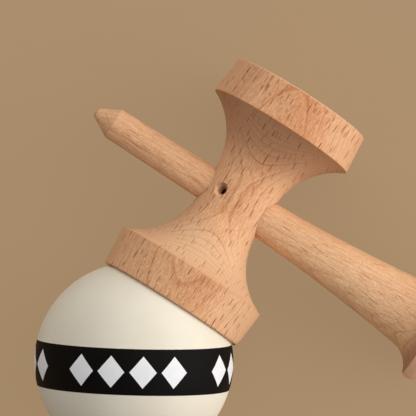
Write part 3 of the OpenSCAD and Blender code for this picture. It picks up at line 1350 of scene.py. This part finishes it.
@dataclass
class Sarado(TurnedPiece):
    """The crosspiece: the big cup, the waist and the small cup."""

    span: float = 74.0
    cup_band: float = 11.8
    big_cup_r: float = 24.6
    small_cup_r: float = 23.55
    band_taper: float = 1.0
    cup_lip: float = 1.8
    waist_r: float = 10.7
    waist_straight: float = 9.6
    eased: float = 0.28
    spike_r: float = 5.35
    neck_r: float = 6.0
    ken_gap: float = 0.05
    bore_ease: float = 0.5
    bore_ease_run: float = 4.1
    bore_segments: int = 128
    string_r: float = 1.4
    string_mouth_r: float = 2.35
    string_turn: float = 33.5
    # Inset of the mouth's painted light and shade.
    worn_lit_inset: float = 0.2
    cut_over: float = 1.0
    # The default far end-grain colour paints shade on the flare under the small cup.
    finish: Beech = field(default_factory=lambda: Beech(
        far_tan=0.15, edges_mm=(-25.2, 25.2), edge_radius_mm=22.0))
    bark_turn: float = -4.0

    def half(self, cup_r: float) -> list[Point]:
        """Outline of one half, from the bowl to the waist.

        Args:
            cup_r: Widest radius of the cup.

        Returns:
            The outline.
        """
        rim = self.span / 2
        corner = (rim - self.cup_band, cup_r)
        run, rise = corner[0] - self.waist_straight / 2, cup_r - self.waist_r
        radius = (run * run + rise * rise) / (2 * rise)
        center = (self.waist_straight / 2, self.waist_r + radius)
        start = math.degrees(math.atan2(rise - radius, run))
        flare = arc(center, radius, start, -90, steps=48)
        cup = self.seat.cup(rim, cup_r - self.band_taper, self.cup_lip)
        return (cup + straight(cup[-1], corner, steps=12)
                + ease(cup[-1], corner, flare[1], self.eased, steps=8) + flare[1:])

    def outline(self) -> list[Point]:
        """The sarado's outline from the small cup to the big one."""
        small, big = self.half(self.small_cup_r), flipped(self.half(self.big_cup_r))
        return small + straight(small[-1], big[0], steps=10) + big

    def build(self) -> None:
        """Turns the sarado, bores its two holes and dresses it."""
        lay = self.lay
        tilt = Matrix.Rotation(math.radians(-self.string_turn), 3, lay.sarado)
        string_hole = axes_at(lay.crossing, tilt @ lay.ken, lay.sarado)
        # The string hole's rubbed mouth, painted lighter where it faces the key lamp and darker as
        # shade on the other side.
        wood = self.finish.material(
            "sarado_beech", lay.about(lay.sarado, self.bark_turn),
            WornLitMouth(string_hole, self.string_mouth_r - self.worn_lit_inset))
        sarado = self.lathe.turn("sarado_turned", self.outline(), self.segments, wood)
        sarado.data.transform(lay.lathe(lay.sarado))
        half = self.waist_r + self.cut_over
        middle = (self.spike_r + self.neck_r) / 2 + self.ken_gap
        slope = (self.neck_r - self.spike_r) / (2 * self.waist_r)
        inner = half - self.bore_ease_run
        bore = self.lathe.turn(
            "ken_bore",
            [(-half, 0.0), (-half, middle - slope * half + self.bore_ease),
             (-inner, middle - slope * inner), (inner, middle + slope * inner),
             (half, middle + slope * half + self.bore_ease), (half, 0.0)],
            self.bore_segments, wood)
        bore.data.transform(lay.lathe(lay.ken))
        mouth = self.waist_r - (self.string_mouth_r - self.string_r)
        over_r = self.string_mouth_r + self.cut_over
        drill = self.lathe.turn(
            "string_drill",
            [(0.0, 0.0), (0.0, self.string_r), (mouth, self.string_r), (half, over_r), (half, 0.0)],
            self.hole_segments, wood)
        drill.data.transform(string_hole)
        carve(sarado, [bore, drill])
        smooth(sarado)
        self.hand_over(sarado, Piece.SARADO, "sarado_wood", True)


class BandMarks:
    """Lozenges printed round the band by a Geometry Nodes tree that bends them onto the ball."""

    GRID_POINTS: ClassVar[int] = 9
    MERGE_MM: ClassVar[float] = 0.001

    def __init__(self) -> None:
        """Builds the tree: lozenges in a row, set in groups, bent round the ball and given body."""
        sizes = ("Ball Radius", "Sink", "Thickness", "Width", "Height", "Middle", "Pitch", "Start")
        tree = GeometryTree("band_marks", {
            **{label: "NodeSocketFloat" for label in sizes},
            "Groups": "NodeSocketInt", "Marks": "NodeSocketInt", "Material": "NodeSocketMaterial"})
        radius = tree.given("Ball Radius")
        marks, groups = tree.given("Marks"), tree.given("Groups")
        # A square of this side is 1 across its corners.
        side = math.sqrt(0.5)
        lozenge = tree.shape(
            "MeshGrid", Size_X=side, Size_Y=side,
            Vertices_X=self.GRID_POINTS, Vertices_Y=self.GRID_POINTS)
        lozenge = tree.shape("Transform", Geometry=lozenge, Rotation=(0.0, 0.0, math.pi / 4))
        size = tree.join(tree.given("Width"), tree.given("Height"), 1.0)
        lozenge = tree.shape("Transform", Geometry=lozenge, Scale=size)
        row = tree.shape("MeshLine", Count=marks * groups)
        index = tree.out("GeometryNodeInputIndex", "Index")
        group = ((index + 0.5) / marks).floor()
        turn = (tree.given("Start") + group * math.tau / groups
                + (index - group * marks - (marks - 1.0) / 2.0) * tree.given("Pitch"))
        spot = tree.join(turn * radius, tree.given("Middle"), 0.0)
        row = tree.shape("SetPosition", Geometry=row, Position=spot)
        flat = tree.shape("InstanceOnPoints", Points=row, Instance=lozenge)
        flat = tree.shape("RealizeInstances", Geometry=flat)
        across, up, _ = tree.split(tree.out("GeometryNodeInputPosition", 0))
        turn, rise = across / radius, up / radius
        inner = radius - tree.given("Sink")
        level = inner * rise.cosine()
        bent = tree.join(level * turn.cosine(), level * turn.sine(), inner * rise.sine())
        skin = tree.shape("SetPosition", Geometry=flat, Position=bent)
        body = tree.out(
            "GeometryNodeExtrudeMesh", "Mesh", {"mode": "FACES"},
            {"Mesh": skin, "Offset Scale": tree.given("Thickness"), "Individual": False})
        back = tree.shape("FlipFaces", Mesh=skin)
        join = tree.node("GeometryNodeJoinGeometry")
        for part in (body, back):
            tree.tree.links.new(part.socket, join.inputs[0])
        solid = tree.shape(
            "MergeByDistance", Geometry=tree.wire(join, 0), Distance=self.MERGE_MM * MM)
        tree.close(solid)
        self.tree = tree


@dataclass
class Tama(TurnedPiece):
    """The ball: its spike hole, its string hole, its paint and its band of marks."""

    radius: float = 30.0
    coat: float = 0.05
    hole_r: float = 11.0
    hole_depth: float = 36.0
    hole_bevel: float = 1.4
    spike_hole_mid: float = 9.21
    drill_point: float = 1.5
    string_r: float = 1.75
    eased: float = 0.3
    bevel_run: float = 0.2
    crown_run: float = 0.02
    band_step: float = 0.06
    paint_depth: float = 0.9
    mark_sink: float = 0.02
    mark_thickness: float = 0.05
    mark_width: float = 8.2
    mark_height: float = 9.6
    mark_middle: float = -0.8
    mark_pitch: float = 18.4
    mark_start: float = -5.0
    mark_groups: int = 4
    marks_in_group: int = 4
    paint: BallPaint = field(default_factory=BallPaint)
    ink: MarkInk = field(default_factory=MarkInk)
    raw: Beech = field(default_factory=Beech)

    def skin(self, start: float, stop: float, radius: float, steps: int) -> list[Point]:
        """Points on the ball between two heights, in even turns.

        Args:
            start: First height.
            stop: Last height.
            radius: Radius of the ball there.
            steps: Number of chords.

        Returns:
            The points.
        """
        first = math.degrees(math.asin(start / radius))
        last = math.degrees(math.asin(stop / radius))
        return [(along, out) for out, along in arc((0.0, 0.0), radius, first, last, steps)]

    def outline(self) -> list[Point]:
        """The ball's outline.

        Returns:
            The points round the string hole, drilled point, spike hole, bevel, ball and band.
        """
        mouth = math.sqrt(self.radius ** 2 - self.hole_r ** 2)
        floor = self.hole_depth - mouth
        bevel = -mouth + self.hole_bevel
        total = bevel + self.hole_r
        low = (total - math.sqrt(2 * self.radius ** 2 - total ** 2)) / 2
        edge = (low, total - low)
        top = (math.sqrt(self.radius ** 2 - self.string_r ** 2), self.string_r)
        point = (floor + (self.hole_r - self.string_r) / self.drill_point, self.string_r)
        deep = (floor, self.hole_r)
        lip = (bevel, self.hole_r)
        low_band, high_band = self.paint.band_low_mm, self.paint.band_high_mm
        south = self.skin(
            edge[0] + self.bevel_run, low_band - self.band_step, self.radius, steps=40)
        band = self.skin(low_band, high_band, self.radius + self.coat, steps=28)
        north = self.skin(
            high_band + self.band_step, top[0] - self.crown_run, self.radius, steps=60)
        crown = ease(north[-2], top, point, self.eased)
        return (crown[-1:] + straight(top, point, steps=14) + [point]
                + straight(point, deep, steps=10) + ease(point, deep, lip, self.eased)
                + straight(deep, lip, steps=30) + ease(deep, lip, edge, self.eased)
                + straight(lip, edge, steps=4) + ease(lip, edge, south[0], self.eased)
                + south[1:] + band + north[:-1] + crown)

    def build(self, marks: BandMarks) -> None:
        """Turns the ball, dresses it and prints its marks.

        Args:
            marks: The tree that prints the band's marks.
        """
        lay = self.lay
        front = (lay.face - lay.pole * lay.face.dot(lay.pole)).normalized()
        at = axes_at(lay.tama, front, lay.pole.cross(front).normalized())
        paint = self.paint.material("tama_paint", at)
        raw = self.raw.material("tama_raw_wood", axes_at(lay.tama, lay.pole, front))
        ball = self.lathe.turn("tama_ball", self.outline(), self.segments, paint)
        ball.data.materials.clear()
        for finish in (paint, raw):
            ball.data.materials.append(finish)
        bare = (self.radius - self.paint_depth) * MM
        for face in ball.data.polygons:
            face.material_index = 1 if face.center.length < bare else 0
        ball.data.transform(at)
        smooth(ball)
        self.hand_over(ball, Piece.TAMA, "tama_paint", True)
        printed = new_object("tama_marks", [])
        outer = self.radius + self.coat
        marks.tree.apply(printed, {
            "Ball Radius": outer * MM, "Sink": self.mark_sink * MM,
            "Thickness": self.mark_thickness * MM,
            "Width": self.mark_width * MM, "Height": self.mark_height * MM,
            "Middle": self.mark_middle * MM, "Pitch": math.radians(self.mark_pitch),
            "Start": math.radians(self.mark_start), "Groups": self.mark_groups,
            "Marks": self.marks_in_group,
            "Material": self.ink.material("tama_white_ink", at)})
        printed.data.transform(at)
        smooth(printed)
        self.hand_over(printed, Piece.TAMA, "tama_paint", False)


@dataclass(frozen=True)
class SoftLamp:
    """A square soft box, placed by its direction from the toy."""

    name: str
    direction: tuple[float, float, float]
    size: float
    power: float
    distance: float = 1.1
    color: tuple[float, float, float] = (1.0, 0.99, 0.98)

    def build(self, target: Vector, axes: Matrix) -> None:
        """Adds the lamp.

        Args:
            target: What it points at.
            axes: The directions right, up and towards the camera, as columns.
        """
        lamp = bpy.data.lights.new(self.name, "AREA")
        lamp.energy, lamp.size, lamp.color = self.power, self.size, self.color
        made = add_object(self.name, lamp)
        toward = (axes @ Vector(self.direction)).normalized()
        made.location = target + toward * self.distance
        made.rotation_euler = toward.to_track_quat("Z", "Y").to_euler()


@dataclass
class Studio:
    """Camera, floor and soft light."""

    lay: Lay
    distance: float = 1300.0
    lean: tuple[float, float] = (-0.001, -0.07)
    roll: float = 32.532
    crossing_pixel: tuple[float, float] = (236.016, 201.398)
    pixels_per_mm: float = 3.301
    sensor: float = 36.0
    floor_half: float = 20.0
    floor_z: float = -0.00008
    ambient: Color = (1.0, 0.99, 0.98, 1.0)
    ambient_level: float = 0.33
    backdrop: Color = srgb(161, 134, 103)
    lamps: tuple[SoftLamp, ...] = (
        SoftLamp("key", (0.91, 0.02, 0.42), size=0.9, power=8.7),
        SoftLamp("top", (-0.25, 0.84, 0.46), size=1.0, power=4.1),
        SoftLamp("low", (0.7, -0.5, 0.5), size=0.9, power=1.1),
        SoftLamp("front", (0.42, 0.2, 0.82), size=1.0, power=2.2),
    )

    def axes(self) -> Matrix:
        """The camera's directions.

        Returns:
            Right, up and back from what it looks at, as columns.
        """
        x_share, y_share = self.lean
        z_share = math.sqrt(1 - x_share ** 2 - y_share ** 2)
        back = self.lay.ken * x_share + self.lay.sarado * y_share + self.lay.face * z_share
        level = (self.lay.ken - back * self.lay.ken.dot(back)).normalized()
        rise = back.cross(level)
        turn = math.radians(self.roll)
        right = level * math.cos(turn) + rise * math.sin(turn)
        up = rise * math.cos(turn) - level * math.sin(turn)
        return Matrix((right, up, back)).transposed()

    def place_camera(self) -> None:
        """Sets the camera so that the crossing of the two axes falls on its pixel."""
        axes = self.axes()
        right, up, back = axes.col
        pixels = self.pixels_per_mm * self.distance
        middle = IMAGE_PIXELS / 2
        aside = (self.crossing_pixel[0] - middle) / pixels
        above = (middle - self.crossing_pixel[1]) / pixels
        shift = (right * aside + up * above - back) * self.distance * MM
        camera = bpy.data.cameras.new("photo_camera")
        camera.sensor_width = self.sensor
        camera.lens = pixels / IMAGE_PIXELS * self.sensor
        made = add_object("photo_camera", camera)
        made.matrix_world = Matrix.Translation(self.lay.crossing - shift) @ axes.to_4x4()
        bpy.context.scene.camera = made

    def light(self) -> None:
        """Adds the lamps and the world's even light."""
        for lamp in self.lamps:
            lamp.build(self.lay.crossing, self.axes())
        world = bpy.data.worlds.new("studio_world")
        bpy.context.scene.world = world
        world.use_nodes = True
        tree = Tree(world.node_tree)
        even = tree.out("ShaderNodeBackground", 0, None,
                        {"Color": self.ambient, "Strength": self.ambient_level})
        wall = tree.out("ShaderNodeBackground", 0, None, {"Color": self.backdrop, "Strength": 1.0})
        shown = tree.out("ShaderNodeMixShader", 0, None, {0: seen_rays(tree), 1: even, 2: wall})
        tree.node("ShaderNodeOutputWorld", None, {"Surface": shown})

    def lay_floor(self) -> None:
        """Adds the pale floor."""
        half, height = self.floor_half, self.floor_z
        mesh = bpy.data.meshes.new("floor")
        mesh.from_pydata(
            [(-half, -half, height), (half, -half, height), (half, half, height),
             (-half, half, height)], [], [(0, 1, 2, 3)])
        mesh.materials.append(FloorPaint().material("pale_floor"))
        floor = add_object("floor", mesh)


def main() -> None:
    """Builds the camera, the three pieces and the studio."""
    logging.basicConfig(level=logging.INFO, format="%(name)s: %(message)s")
    bpy.context.scene.view_settings.view_transform = "Standard"
    seat = Seat()
    big_mouth = Sarado.big_cup_r - Sarado.band_taper - Sarado.cup_lip
    lay = Lay.read(frame["record"], frame["joints"], Tama.spike_hole_mid,
                   Sarado.span / 2 + seat.height(big_mouth))
    studio = Studio(lay)
    studio.place_camera()
    lathe = Lathe()
    Ken(lathe, lay, seat).build()
    Sarado(lathe, lay, seat).build()
    Tama(lathe, lay, seat).build(BandMarks())
    studio.light()
    studio.lay_floor()


if __name__ == "__main__":
    main()
